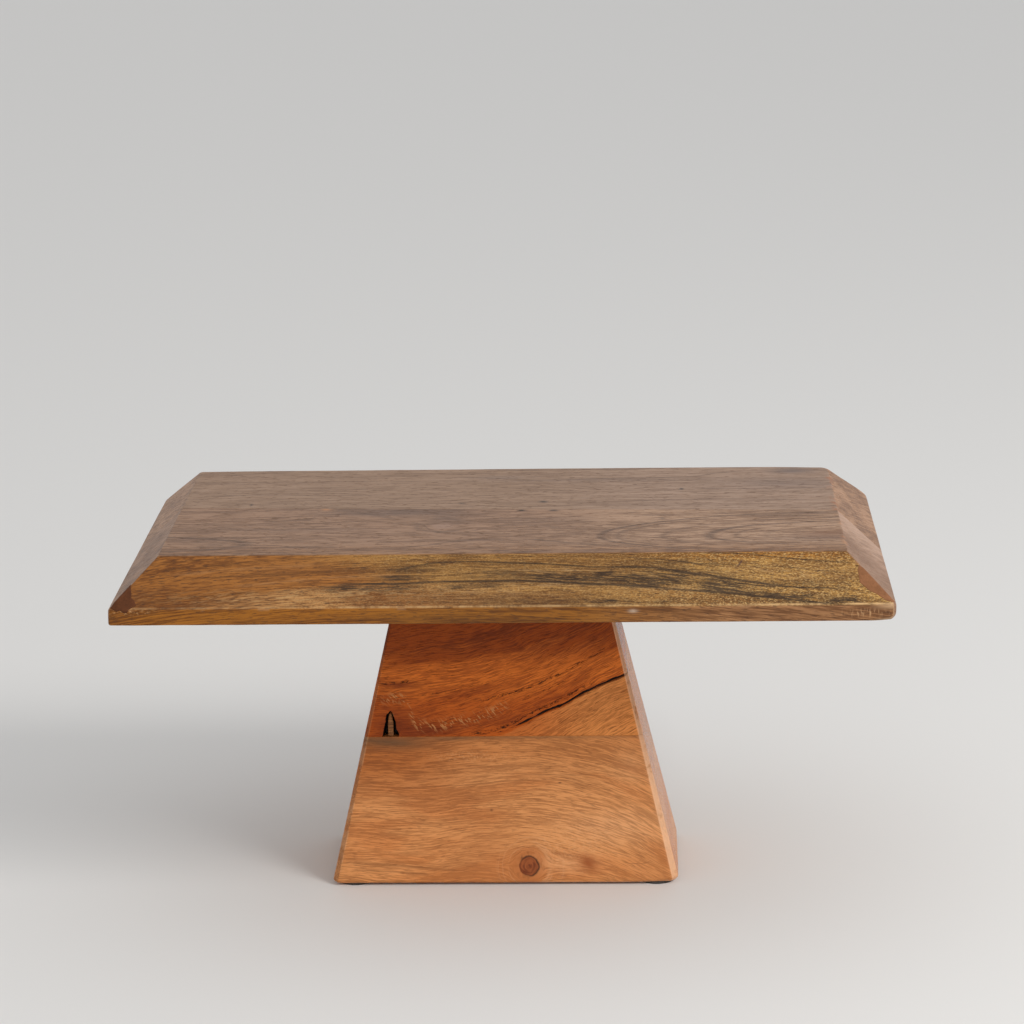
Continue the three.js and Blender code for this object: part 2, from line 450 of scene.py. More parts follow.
class Grain:
    """Layers of grain: along is the fibres' way, and across and through cut the growth rings.

    length is how far a streak runs and fine how wide the thinnest fibres are, in millimetres.
    """

    def __init__(self, s, along, across, through, length, fine=0.6):
        self.s = s
        self.bands = s.noise(along / (length * 2.5), across / 8, through / 8, 3.0)
        self.streaks = s.noise(along / length, across / 1.7, through / 1.7, 3.0, 0.65)
        self.fibres = s.noise(along / (length / 3), across / fine, through / fine, 2.0, 0.65)
        vessels = s.noise(along / 4.5, across / fine, through / fine, 1.5)
        self.pores = s.step(vessels, 0.6, 0.68)
        self.tone = self.bands + (self.streaks - 0.5) * STREAK_SHARE + (self.fibres - 0.5) * FIBRE_SHARE

    def shade(self, middle, contrast=1.0):
        return shades(self.s, self.tone, middle, contrast)

    def height(self):
        """The fine relief of sanded and lacquered wood, in millimetres."""
        return (self.fibres - 0.5) * 0.09 + (self.streaks - 0.5) * 0.09 - self.pores * 0.08

    def roughness(self, least):
        return least + (1.0 - self.fibres) * 0.14 + self.pores * 0.12


def shades(s, tone, middle, contrast=1.0):
    """One wood colour, darker and redder in its dark streaks and yellower in its pale ones."""
    middle = np.array(middle)
    dark = middle * (1 - contrast * np.array([0.4, 0.46, 0.5]))
    pale = middle * (1 + contrast * np.array([0.36, 0.44, 0.6]))
    return s.ramp(tone, [(0.32, tuple(dark)), (0.5, tuple(middle)), (0.68, tuple(pale))])


def specks(s, x, y, z, width, height, share):
    """1 in fine scattered specks. A greater share of the surface has them as share rises."""
    grit = s.noise(x / width, y / height, z / height, 1.5, 0.6)
    return s.step(grit, 0.62 - share * 0.2, 0.7 - share * 0.2)


def slab_sides(s):
    """Where the slab's surface belongs to its long sides, and where to its ends."""
    in_from_end = (SLAB_HALF_X - abs(s.x)) * (BEVEL_Y / BEVEL_X)
    in_from_side = SLAB_HALF_Y - abs(s.y)
    top = s.step(s.lower(in_from_end, in_from_side), BEVEL_Y - 0.5, BEVEL_Y + 0.1)
    end = s.step(in_from_side - in_from_end, -0.3, 0.3)
    return (1.0 - end) * (1.0 - top), end * (1.0 - top)


def edge_wear_and_highlight(s, edge, width, share):
    """Patches, close to an edge, where the finish is rubbed thin; along the pedestal's edges they are partly
    a painted highlight.
    """
    patchy = s.noise(s.x / 14, s.y / 14, s.z / 14, 4.0, 0.65)
    return s.step(edge, width, 0.1) * s.step(patchy, 0.66 - share * 0.2, 0.74 - share * 0.2)


def end_grain(s, y_tilt):
    """Short slanting lines where the boards' ends cut across the fibres."""
    slant = s.y * y_tilt + s.z
    lines = s.noise(s.y / 14, slant / 1.0, s.x / 12, 3.0, 0.7)
    cloud = s.noise(s.y / 26, s.z / 9, s.x / 26, 2.0)
    return 0.5 + (lines - 0.5) * 1.3 + (cloud - 0.5) * 0.7


# How the growth layers rise and fall along the front of the slab: (x, height).
FRONT_ARCH = [(-200, -13), (-171, -8), (-111, -2), (-70, 0), (0, 0.7), (31, -0.7), (73, -3), (115, -7),
              (163, -12), (200, -17)]

# Dark fungus lines and growth lines on the front bevel, as (x, z).
SPALT_LINES = [
    ([(-94, 183.8), (-88, 186.6), (-80, 187.6), (-50, 187.8), (-30, 188.4), (0, 188.5), (20, 188.2),
      (45, 187.1), (70, 186.2), (85, 184.9), (100, 184), (113, 183.3), (125, 182.2), (140, 180.8),
      (155, 179.4), (168, 178.3), (184, 177.6)], 0.35, 0.95, 0.95),
    ([(-64, 192.4), (-50, 194), (-40, 195.4), (-30, 196.4), (-16, 196.6), (0, 196.1), (15, 195.8),
      (30, 195), (45, 194), (70, 193.7), (85, 192.5), (100, 190.8), (115, 189), (130, 187.3), (140, 186),
      (150, 185), (165, 184.7), (180, 183.6), (192, 181.6)], 0.5, 0.9, 0.85),
    ([(96, 199.6), (124, 199.0), (135, 198), (150, 196.7), (165, 195.7), (184, 194.7)], 0.3, 0.6, 0.85),
    ([(56, 198), (80, 196.9), (98, 195.2), (112, 194.6), (125, 194), (145, 193.3), (160, 192),
      (184, 190.2)], 0.3, 0.5, 0.6),
    ([(100, 189.2), (115, 187.6), (130, 186), (142, 184.9)], 0.4, 0.6, 0.6),
]
GROWTH_LINES = [
    ([(-194, 179.6), (-172, 181.2), (-160, 182.4), (-138, 183.7), (-118, 184.6), (-100, 185)],
     0.7, 1.0, 0.75),
    ([(-184, 196.2), (-165, 197.3), (-150, 198.3), (-128, 199.3)], 0.5, 0.7, 0.6),
    ([(-176, 193.6), (-158, 194.8), (-140, 196.0), (-120, 197.4), (-92, 198.4)], 0.6, 0.9, 0.55),
    ([(-168, 189.4), (-140, 191), (-115, 191.7), (-90, 192.6), (-64, 193.8)], 0.5, 0.9, 0.5),
    ([(-52, 196.4), (-38, 198), (-20, 199.2)], 0.4, 0.6, 0.6),
]
PALE_LINES = [
    ([(-140, 186.8), (-120, 188.0), (-100, 189.6), (-85, 190.4), (-65, 190.9), (-46, 191.2)],
     0.8, 1.2, 0.55),
    ([(-172, 191.6), (-140, 193.6), (-110, 195.2), (-90, 195.8)], 1.2, 1.4, 0.4),
]
# Smoky patches along them: (x, z, half width, half height, strength).
SPALT_CLOUDS = [
    (-78, 185.9, 14, 1.5, 0.9), (-54, 185.9, 14, 1.6, 0.75), (-22, 186.3, 8, 1.2, 0.65),
    (-5, 186.3, 6, 1.0, 0.5), (-52, 190.0, 11, 1.3, 0.9), (-45, 193.4, 12, 1.3, 0.55),
    (0, 191.5, 22, 3.2, 0.45), (31, 189.8, 16, 1.8, 1.1), (54, 191.4, 5, 0.8, 0.9),
    (60, 188.6, 20, 2.0, 0.8), (80, 187.7, 15, 1.9, 1.1), (112, 186.0, 12, 2.8, 1.1),
    (123, 182.9, 10, 1.2, 0.9), (145, 181.3, 15, 1.4, 1.0), (174, 180.0, 8, 1.3, 0.95),
    (55, 180.0, 6, 0.8, 0.6), (90, 190.5, 26, 1.4, 0.6), (40, 179.5, 70, 1.6, 0.35),
    (150, 186.5, 26, 1.4, 0.45), (165, 178.6, 24, 1.0, 0.5), (86, 194.5, 26, 3.0, 0.4),
]
# Where pale streaks lie between them, and where the band below the bevel is darkened: the same numbers.
PALE_CLOUDS = [(0, 184.0, 60, 3.0, 0.3), (30, 192.4, 24, 1.1, 0.7), (32, 187.4, 26, 0.9, 0.8),
               (90, 190.0, 22, 1.0, 0.6), (95, 184.6, 24, 1.2, 0.5), (-60, 184.0, 30, 1.6, 0.7),
               (150, 191.0, 34, 3.0, 0.45), (-120, 182.0, 60, 3.0, 0.5), (160, 174.0, 30, 1.0, 0.5)]
BAND_SMUDGES = [(-60, 172.5, 34, 2.0, 0.7), (-15, 171.5, 14, 1.6, 0.6), (20, 171.5, 16, 1.4, 0.5),
                (96, 175.0, 26, 1.2, 0.5), (-120, 171.0, 20, 1.0, 0.4), (150, 174.0, 20, 1.5, 0.3)]


def front_of_front_board(s, edge):
    """The front bevel, brown at its left and spalted gold at its right, and the band below it."""
    x, y, z = s.x, s.y, s.z
    wander = (s.noise(x / 70, y / 40, z / 40) - 0.5) * 5
    rise = z - s.curve(x, FRONT_ARCH) + wander * 0.3
    grain = Grain(s, x, y + wander, rise, 55)
    dark_specks = specks(s, x, y, z, 1.2, 0.5, 0.5)
    pale_specks = specks(s, x + 40, y, z, 1.1, 0.5, 0.45)
    smears = s.step(s.noise(x / 9, y / 9, rise / 0.55, 3.0, 0.7), 0.38, 0.6)
    pale_smears = s.step(s.noise(x / 8 + 30, y / 9, rise / 0.6, 3.0, 0.7), 0.48, 0.6)

    olive = s.step(x + (rise - 190) * 3, -90, -25)
    gold = s.step(x, 40, 120)
    bevel = grain.shade((0.245, 0.086, 0.013), 1.05)
    bevel.cover(grain.shade((0.262, 0.123, 0.028)), olive)
    bevel.cover(grain.shade((0.33, 0.165, 0.038)), gold)
    amber = s.step(z, 195.0, 198.5) * gold
    bevel.cover(grain.shade((0.28, 0.108, 0.012)), amber * 0.8)
    low_right = s.step(rise, 191.0, 187.0) * gold
    bevel.cover(grain.shade((0.185, 0.074, 0.016)), low_right * 0.8)
    buff = s.step(rise, 188.0, 185.0) * s.step(z, 177, 178.5) * s.step(x, -165, -125)
    buff = buff * (s.step(x, -60, -95) * 0.6 + s.step(x, 40, -20) * 0.25)
    bevel.cover(grain.shade((0.37, 0.175, 0.055)), buff)
    bevel.cover((0.44, 0.215, 0.08), s.strokes(x, z, PALE_LINES) * (1.6 - smears * 1.3) * 0.6)
    bevel.cover((0.33, 0.14, 0.036), s.spot(x + 112, z - 194, 34, 7) * 0.3)
    growth = s.strokes(x, z + (grain.streaks - 0.5) * 1.5, GROWTH_LINES)
    bevel.cover((0.1, 0.036, 0.006), growth * (0.35 + smears * 0.65))

    gritty = s.lower(olive * 0.8 + s.step(z, 188.5, 184.0) * s.step(x, -130, -80), 1.0)
    bevel.cover((0.6, 0.38, 0.15), pale_specks * gritty * (0.32 + gold * 0.5))
    bevel.cover((0.08, 0.036, 0.008), dark_specks * gritty * (0.4 + gold * 0.3))
    bevel.cover((0.52, 0.31, 0.13), pale_smears * s.spots(x, z, PALE_CLOUDS))
    low_middle = s.step(z, 185.0, 183.0) * s.step(x, -92, -72) * s.step(x, 60, 30)
    low_left = s.spot(x + 174, z - 181, 36, 7)
    bevel.cover((0.1, 0.026, 0.002), s.lower(low_middle + low_left, 1.0) * 0.34)
    bevel.cover(PORE_BROWN, grain.pores * 0.6)

    ripple = (grain.streaks - 0.5) * 2.2
    lines = s.strokes(x, z + ripple * 0.5, SPALT_LINES) * (0.8 + dark_specks * 0.3)
    clouds = s.spots(x, z + ripple, SPALT_CLOUDS)
    spalt = s.lower(lines + clouds * (0.3 + smears * 1.1 + dark_specks * 0.15), 0.92)
    bevel.cover(grain.shade((0.044, 0.024, 0.011)), spalt)
    scratch = s.spot(x - 121.5 - (z - 195) * 0.9, z - 195, 0.5, 1.3)
    bevel.cover((0.06, 0.025, 0.03), scratch * 0.9)

    greyer = s.step(x, 30, 130)
    band = grain.shade((0.255, 0.086, 0.006))
    band.cover(grain.shade((0.215, 0.074, 0.006)), s.step(x, -80, -20))
    band.cover(grain.shade((0.27, 0.122, 0.045)), greyer)
    band.cover((0.08, 0.025, 0.004), s.spots(x, z + ripple, BAND_SMUDGES) * (0.3 + smears * 0.7))
    band.cover(PORE_BROWN, grain.pores * 0.5)
    ticks = s.step(s.noise(x / 1.1, z / 6, 0.0), 0.52, 0.6) * s.spot(x - 184, z - 173.5, 9, 1.8)
    band.cover((0.56, 0.32, 0.15), ticks * 0.8)
    band.cover((0.46, 0.33, 0.24), s.spot(x - 67, z - 175.3, 2.2, 0.9))
    on_band = s.step(z + ripple * 0.3, BAND_TOP + 0.5, BAND_TOP - 0.3)
    colour = s.mix(bevel, band, on_band)

    ridge = s.hump(z - BAND_TOP - 0.6 + ripple * 0.15, 0.4)
    broken = s.step(s.noise(x / 16, 0.0, 0.0, 4.0, 0.7), 0.38, 0.58)
    ridge_length = 0.3 + s.step(x, -100, -86) * 0.3 + s.step(x, 100, 175) * 0.4
    colour.cover((0.64, 0.4, 0.18), ridge * broken * ridge_length)
    chipped = s.step(s.noise(x / 2.5, z / 1.2, 0.0, 3.0, 0.7), 0.5, 0.6)
    colour.cover((0.6, 0.33, 0.13), chipped * s.spot(x + 189, z - 176.6, 9, 1.3))
    # Painted highlight on the rounded corner where the band's top meets the right end.
    band_corner_highlight = s.step(x, 184, 198) * s.step(edge, 2.2, 0.4) * s.step(z, BAND_TOP + 1.5, BAND_TOP + 0.5)
    return s.mix(colour, (0.62, 0.4, 0.22), band_corner_highlight * 0.55), grain


# Lines, smoky patches and small pits on top of the slab, as (x, y).
TOP_LINES = [
    ([(-68, -81), (-36, -69), (-21, -62.5), (0, -60.5), (14, -61), (24, -64), (49, -72), (74, -77.5),
      (104, -83)], 1.8, 2.8, 0.8),
    ([(-27, -50), (-16, -42), (-6, -35.5), (6, -31.5), (18, -35), (31, -40.5)], 1.6, 2.4, 0.6),
    ([(-95, 3.0), (-83, -2), (-74, -8), (-66, -12), (-57, -19)], 2.6, 4.0, 0.65),
    ([(-98, 2.6), (-70, 0.6), (-48, -0.6), (-20, 0.6)], 1.6, 5.0, 0.55),
    ([(-130, -21.5), (-114, -20), (-101, -18)], 2.4, 3.7, 0.6),
    ([(-116, -73), (-100, -72), (-84, -72.5)], 2.7, 4.1, 0.6),
    ([(-186, -49), (-160, -52.5), (-130, -55)], 4.0, 3.4, 0.6),
    ([(60, -12), (90, -15), (120, -13), (150, -17), (178, -16)], 1.4, 2.4, 0.4),
    ([(-30, -76), (20, -79), (60, -82)], 1.6, 2.4, 0.45),
    ([(-52, -24), (-44, -30), (-38, -42), (-30, -47), (-20, -44)], 2.0, 2.6, 0.45),
    ([(-40, -18), (-28, -20), (-20, -28), (-22, -38)], 2.4, 2.2, 0.45),
]
TOP_CLOUDS = [(-60, -5, 36, 8, 0.65), (-32, -18, 9, 10, 0.4), (20, -22, 24, 6, 0.3),
              (-100, -40, 40, 5, 0.25), (165, -62, 26, 6, 0.45), (20, -84, 60, 3, 0.4),
              (-110, -84, 40, 2.5, 0.35)]
FRONT_PITS = [(8, -2.6, 2.2, 1.5, 1.0), (25, -3.0, 2.4, 1.5, 1.0), (83, -22, 1.8, 2.0, 0.5)]
BACK_PITS = [(-25, 13, 1.6, 1.5, 0.7), (19, 15, 2.2, 1.8, 1.0), (94, 40, 1.2, 1.8, 1.0),
             (-139, 13, 0.8, 2.2, 0.8)]
BACK_CLOUDS = [(156, 78, 12, 6, 0.85), (152, 51, 34, 12, 0.45), (-6, 68, 16, 4, 0.45), (40, 60, 60, 3, 0.25)]
BACK_LINES = [
    ([(20, 62), (60, 64), (95, 66), (118, 76), (132, 78)], 1.6, 2.2, 0.45),
    ([(100, 41), (140, 40), (178, 43)], 1.8, 2.2, 0.45),
    ([(60, 14), (110, 17), (178, 10)], 1.4, 1.8, 0.4),
    ([(-176, 30), (-120, 33), (-60, 30)], 1.4, 2.0, 0.3),
    ([(-20, 88), (30, 84), (80, 86)], 2.0, 2.4, 0.45),
]
TOP_DARK = (0.075, 0.034, 0.016)
RUBBED_WOOD = (0.42, 0.24, 0.12)
# Set figure fades in between these heights, so that none of it shows on the underside.
FIGURE_FROM = 184
FIGURE_TO = 190
# The middle of the nested points at the right.
NESTED_X, NESTED_Y = 200, -57
# The dark rings among them: (distance from the middle, half width, strength).
NESTED_RINGS = [(38.5, 0.6, 1.0), (36.2, 0.4, 0.6), (30, 0.7, 0.5), (24.1, 0.8, 1.0), (20.5, 0.5, 0.5),
                (16.5, 0.6, 0.5)]
# The slab's roughness, and the strength of the highlights on the boards and the lower block.
SLAB_SATIN = 0.4
BOARD_SPECULAR = 0.28


def top_of_front_board(s):
    """Grey-brown flat-sawn grain: nested points at the right, a swirl round a knot, a wedge at the left."""
    x, y = s.x, s.y
    wander = (s.noise(x / 60, y / 30, 0.0) - 0.5) * 9
    fold = s.step(y, -60, -52) * 0.45 + 0.9
    folded = NESTED_Y + (y - NESTED_Y) / fold * 1.1
    points = s.rings(x, folded + wander * 0.5, NESTED_X, NESTED_Y, 3.9)
    nested = s.step(points, 52, 40) * s.step(x, 20, 60)
    grain = Grain(s, x, y + wander, s.z, 42, 1.3)
    nested_rings = s.noise(points / 1.1, x / 60, 0.0, 3.0, 0.7)
    tone = grain.tone + (nested_rings - grain.streaks) * nested * 0.7
    wood = shades(s, tone, (0.24, 0.128, 0.068), 0.7)
    wood.cover(shades(s, tone, (0.3, 0.172, 0.097), 0.85), s.step(x, 0, 80))
    top = s.mix(wood, shades(s, tone, (0.235, 0.112, 0.046)), s.step(y, -64, -86) * 0.9)

    ring_lines = sum(s.hump(points - away, width) * strength for away, width, strength in NESTED_RINGS)
    ring_lines = ring_lines * s.step(x, 38, 56)
    eye = s.step(points, 14.5, 9.0)
    wedge = s.rings(x, y + wander * 0.4, -212, -66, 5.0)
    wedge_line = s.hump(wedge - 15.5, 1.0) * 0.9 + s.hump(wedge - 12.5, 1.4) * 0.45
    wedge_line = wedge_line * s.step(x, -116, -134)
    swirl = s.rings(x, y + wander * 0.3, -33, -34, 1.15)
    swirl_line = s.hump(swirl - 11.5, 2.0) * s.step(y + x * 0.5, -44, -58) + s.hump(swirl - 8, 1.0) * 0.4

    frayed = s.step(s.noise(x / 12, y / 1.1, 0.0, 3.0, 0.7), 0.36, 0.6)
    lines = s.strokes(x, y + (grain.streaks - 0.5) * 9, TOP_LINES)
    dark = s.lower(lines + ring_lines + wedge_line + swirl_line * 0.7, 1.0) * (0.15 + frayed)
    top.cover((0.2, 0.085, 0.034), eye * 0.6)
    top.cover((0.33, 0.2, 0.14), s.step(swirl, 7.0, 3.0) * 0.6)
    top.cover((0.11, 0.064, 0.046), s.spots(x, y, TOP_CLOUDS) * (0.4 + grain.streaks))
    top.cover(TOP_DARK, dark * 0.85)
    top.cover(PORE_BROWN, grain.pores * 0.4)
    top.cover((0.44, 0.19, 0.07), s.spot(x + 97.5, y - 2, 2.2, 2.0) * 0.8)
    top.cover((0.015, 0.008, 0.006), s.spots(x, y, FRONT_PITS) * 0.95)
    return s.mix(wood, top, s.step(s.z, FIGURE_FROM, FIGURE_TO)), grain


def ridge_chips(s, edge, width, share):
    """Chips in the finish along the ridge above the slab's right end."""
    return edge_wear_and_highlight(s, edge, width, share) * s.step(s.x, 165, 172) * s.step(s.z, 190, 197)


def front_board_wood():
    s = Shader("front_board_wood")
    edge = s.attribute("edge_mm")
    side, end = slab_sides(s)
    side_colour, side_grain = front_of_front_board(s, edge)
    top_colour, top_grain = top_of_front_board(s)
    colour = s.mix(top_colour, side_colour, side)
    ends = shades(s, end_grain(s, 0.55), (0.265, 0.14, 0.076))
    # Painted light: the right end is painted paler than the left, as lit from the right with the left end in
    # shade.
    ends.cover(shades(s, end_grain(s, 0.55), (0.335, 0.195, 0.122)), s.step(s.x, -50, 50))
    facing_right = s.step(s.x, 0, 20)
    # A painted highlight across the middle of the right end.
    ends.cover((0.45, 0.285, 0.2), s.spot(s.y + 2, s.z - 187, 24, 16) * facing_right * 0.85)
    ends.cover((0.2, 0.098, 0.048), s.step(s.y, -35, -60) * facing_right * 0.6)
    colour.cover(ends, end)
    colour.cover((0.4, 0.18, 0.08), ridge_chips(s, edge, 2.4, 0.8) * 0.6)
    colour.cover(RUBBED_WOOD, edge_wear_and_highlight(s, edge, 1.0, 0.35) * 0.35)
    height = top_grain.height() + side_grain.height() * side
    return s.finish(colour, top_grain.roughness(SLAB_SATIN), height, specular=BOARD_SPECULAR)


def back_board_wood():
    """Straighter and finer grain than the front board's."""
    s = Shader("back_board_wood")
    x, y, z = s.x, s.y, s.z
    edge = s.attribute("edge_mm")
    side, end = slab_sides(s)
    wander = (s.noise(x / 110, y / 40, z / 40) - 0.5) * 7
    grain = Grain(s, x, y + wander, z, 48, 1.3)
    top = grain.shade((0.255, 0.15, 0.087), 0.5)
    top.cover(grain.shade((0.282, 0.174, 0.112), 0.5), s.step(x, 0, 90))
    upper = s.step(z, FIGURE_FROM, FIGURE_TO)
    top.cover((0.125, 0.086, 0.074), s.spots(x, y, BACK_CLOUDS) * (0.4 + grain.streaks) * upper)
    top.cover(TOP_DARK, s.strokes(x, y + (grain.streaks - 0.5) * 6, BACK_LINES) * upper)
    top.cover((0.015, 0.008, 0.006), s.spots(x, y, BACK_PITS) * 0.95 * upper)
    colour = s.mix(top, grain.shade((0.27, 0.12, 0.04)), side)
    colour.cover(shades(s, end_grain(s, 0.45), (0.305, 0.158, 0.08)), end)
    colour.cover(PORE_BROWN, grain.pores * 0.4)
    colour.cover((0.33, 0.12, 0.045), ridge_chips(s, edge, 2.6, 1.0) * 0.75)
    colour.cover(RUBBED_WOOD, edge_wear_and_highlight(s, edge, 1.0, 0.35) * 0.35)
    return s.finish(colour, grain.roughness(SLAB_SATIN), grain.height(), specular=BOARD_SPECULAR)


# The drying crack across the upper block's front, as (x, z).
CRACK = [(-18, 82.2), (-10, 82.8), (-3, 84.6), (7, 89.0), (20, 95.6), (29, 99.0), (37, 103.8), (47, 108.9),
         (62, 115.0), (70, 118.6)]
# Rows of dark pores beside the crack: (points, above, below, strength).
PORE_ROWS = [
    ([(-20, 100), (3, 106), (15, 110), (32, 118), (45, 125.5), (60, 132)], 1.6, 1.6, 0.9),
    ([(-24, 83), (-8, 85), (4, 90), (16, 96), (26, 100.5), (36, 106), (50, 112)], 2.0, 1.2, 1.0),
    ([(8, 103), (20, 107), (32, 112.5)], 1.0, 1.0, 0.8),
    ([(-70, 110.4), (-62, 111.2), (-50, 112.2)], 1.0, 1.2, 0.9),
    ([(-50, 104), (-30, 107), (-10, 112)], 0.8, 0.8, 0.5),
]
# The knot hole, the splinter that stands in it, and how deep they and the crack are cut.
HOLE_MIDDLE_X = -63.6
HOLE_TOP = 96.0
HOLE_HEIGHT = 13.5
HOLE_HALF_WIDTH = 3.7
HOLE_DEPTH = 5.5
SPLINTER_TOP = 95.0
SPLINTER_HALF_WIDTH = 1.7
SPLINTER_DEPTH = 1.2
CRACK_DEPTH = 1.0
# The pedestal's roughness, and how much less of it there is on the left and right faces.
POST_SATIN = 0.36
SIDE_GLOSS = 0.18


def post_insets(s):
    """How far in from the pedestal's left or right face, and from its front or back face."""
    rise = s.z - POST_BASE
    in_x = POST_BASE_HALF[0] - POST_LEAN[0] * rise - abs(s.x - POST_MIDDLE_X)
    in_y = POST_BASE_HALF[1] - POST_LEAN[1] * rise - abs(s.y)
    return in_x, in_y


def post_roughness(s, grain):
    """Satin on the pedestal's front and back, and glossier on its left and right faces."""
    in_x, _ = post_insets(s)
    return grain.roughness(POST_SATIN) - s.step(in_x, 0.5, 0.1) * SIDE_GLOSS


def corner_painted_shade(s, left, right):
    """The share of painted shade on the pedestal's narrow corner faces, at its left and right."""
    in_x, in_y = post_insets(s)
    width = CHAMFER_FOOT - (s.z - POST_BASE) * CHAMFER_TAPER
    corner = s.step(in_x - width, 0.2, -0.4) * s.step(in_y - width, 0.2, -0.4)
    return corner * (left + s.step(s.x, 0, 20) * (right - left))


def corner_painted_highlight(s, edge, strip):
    """The painted highlight on the pedestal's right-hand corners: a pale strip, with a broken bright line
    along it.
    """
    broken = s.noise(s.x / 9, s.y / 9, s.z / 9, 4.0, 0.7)
    rim = s.step(edge, 0.5, 0.25) * s.step(broken, 0.3, 0.48)
    return s.step(s.x, 0, 20) * (s.step(edge, 1.6, 0.3) * strip + rim * 0.5)


# The colour of the painted highlight on the pedestal's right-hand corners.
LIT_EDGE = (0.92, 0.56, 0.34)


def upper_block_wood():
    """Red-orange wood whose grain climbs to the right, with a knot hole, a crack and paler wood below."""
    s = Shader("upper_block_wood")
    x, y, z = s.x, s.y, s.z
    edge = s.attribute("edge_mm")
    pit = s.attribute("pit_mm")
    front = s.step(y, 6, -22)
    climb = s.curve(x, [(-90, -13), (-40, -9), (-10, -2), (20, 9), (50, 24), (80, 42)])
    wander = (s.noise(x / 35, y / 35, z / 25) - 0.5) * 9
    across = z - climb + wander
    grain = Grain(s, x, across, y, 28)
    level = z + (grain.bands - 0.5) * 34 - climb * 0.15
    red = grain.shade((0.45, 0.086, 0.006), 0.7)
    red.cover(grain.shade((0.64, 0.152, 0.016), 0.7), s.step(level, 99, 115))
    # Darker toward the top: partly the wood's own darker bands, partly painted shadow of the slab above.
    red.cover(grain.shade((0.265, 0.045, 0.001), 0.8), s.step(level, 116, 134))
    tan = grain.shade((0.68, 0.24, 0.058), 0.5)

    ragged = (s.noise(x / 2.2, y / 6, z / 2.2, 3.0, 0.7) - 0.5) * 2.4
    below = s.curve(x, CRACK) - z + ragged * 0.6 + (y + 25) * 0.22
    colour = s.mix(red, tan, s.step(below, -0.3, 1.2) * (0.35 + s.step(x, 5, 50) * 0.65))
    colour.cover((0.06, 0.016, 0.004), s.hump(below, 0.7) * s.step(x, 20, 50) * 0.75)
    shade = s.spots(x, z, [(-62, 88, 15, 8, 0.75), (-40, 85, 14, 4, 0.6), (-58, 110, 12, 2.2, 0.75),
                           (-10, 91, 24, 4, 0.3)]) * front
    colour.cover((0.15, 0.018, 0.001), shade * (0.5 + grain.streaks))

    flecks = s.noise((x + z * 0.9) / 1.2, (z * 0.9 - x) / 5, y / 9, 2.0)
    fleck_row = s.hump(z - s.curve(x, [(-70, 101), (-58, 103), (-48, 88), (-30, 89.5), (-3, 98)]), 2.8)
    fleck_area = fleck_row * s.step(x, -72, -62) * s.step(x, 2, -4) * front
    colour.cover((0.6, 0.27, 0.09), s.step(flecks, 0.52, 0.6) * fleck_area * 0.8)

    pores = s.step(s.noise(x / 2.6, across / 0.8, y / 1.2, 2.0, 0.7), 0.52, 0.6)
    rows = s.strokes(x, z, PORE_ROWS) * front
    colour.cover((0.09, 0.014, 0.001), grain.pores * 0.45)
    colour.cover((0.022, 0.006, 0.001), pores * rows)
    sliver = s.step(abs(x - HOLE_MIDDLE_X), 2.2, 1.6) * s.step(z, SPLINTER_TOP + 0.5, SPLINTER_TOP - 1.5)
    sliver = sliver * s.step(y, -8, -16) * s.step(pit, 2.6, 1.9)
    colour.cover(grain.shade((0.26, 0.1, 0.032)), sliver)
    # Painted shade: the inside of the carved knot hole and crack is painted near black, apart from the
    # splinter.
    colour.cover((0.006, 0.003, 0.002), s.step(pit + ragged * 0.15, 0.25, 0.6) * (1.0 - sliver))
    # Pale lines along the edges: partly rubbed finish, partly painted highlight.
    colour.cover((0.76, 0.3, 0.11), edge_wear_and_highlight(s, edge, 0.5, 1.1) * 0.3)
    # Painted shade on the narrow corner faces.
    colour.cover((0.02, 0.003, 0.0), corner_painted_shade(s, 0.35, 0.5))
    # Painted highlight along the right-hand corners.
    colour.cover(LIT_EDGE, corner_painted_highlight(s, edge, 0.0))
    return s.finish(colour, post_roughness(s, grain), grain.height() - pores * rows * 0.3, specular=0.18)


# The knots in the lower block's front, and its specks, patches and lines, as (x, z).
KNOT_X, KNOT_Z, KNOT_RADIUS = 9.7, 10.7, 5.4
SMALL_KNOT_X, SMALL_KNOT_Z = 41.7, 12.4
LOWER_SPECKS = [(27, 56.4, 0.8, 0.4, 0.9), (-10, 41.7, 0.8, 0.7, 0.6), (6, 15.6, 0.5, 1.2, 0.5)]
LOWER_SMUDGES = [(-70, 80, 22, 3.0, 0.8), (-58, 77, 18, 3.0, 0.5), (-30, 80.5, 12, 1.2, 0.5),
                 (20, 81.2, 60, 0.9, 0.5)]
SILKY_PATCHES = [(-18, 71, 20, 2.5, 0.8), (38, 27, 24, 13, 0.8), (22, 14, 18, 8, 0.5)]
BRIGHT_PATCHES = [(58, 32, 32, 11, 0.6), (66, 66, 10, 10, 0.3), (30, 12, 16, 6, 0.5)]
LOWER_LINES = [
    ([(36, 48), (47, 43), (62, 37), (72, 32)], 0.5, 0.6, 0.55),
    ([(50, 36), (64, 31), (84, 24)], 0.5, 0.6, 0.45),
    ([(-66, 53), (-20, 56), (15, 58), (40, 56)], 0.5, 0.6, 0.35),
    ([(-10, 62), (20, 61), (55, 60), (78, 57)], 0.4, 0.6, 0.4),
    ([(-85, 40), (-60, 36), (-30, 31), (-12, 28)], 0.5, 0.7, 0.3),
    ([(-90, 13), (-60, 11), (-23, 8)], 1.0, 1.2, 0.45),
    ([(-88, 9), (-65, 8), (-42, 6)], 0.8, 1.0, 0.4),
    ([(60, 12.6), (68, 12.0), (76, 13.6)], 0.5, 0.7, 0.5),
]


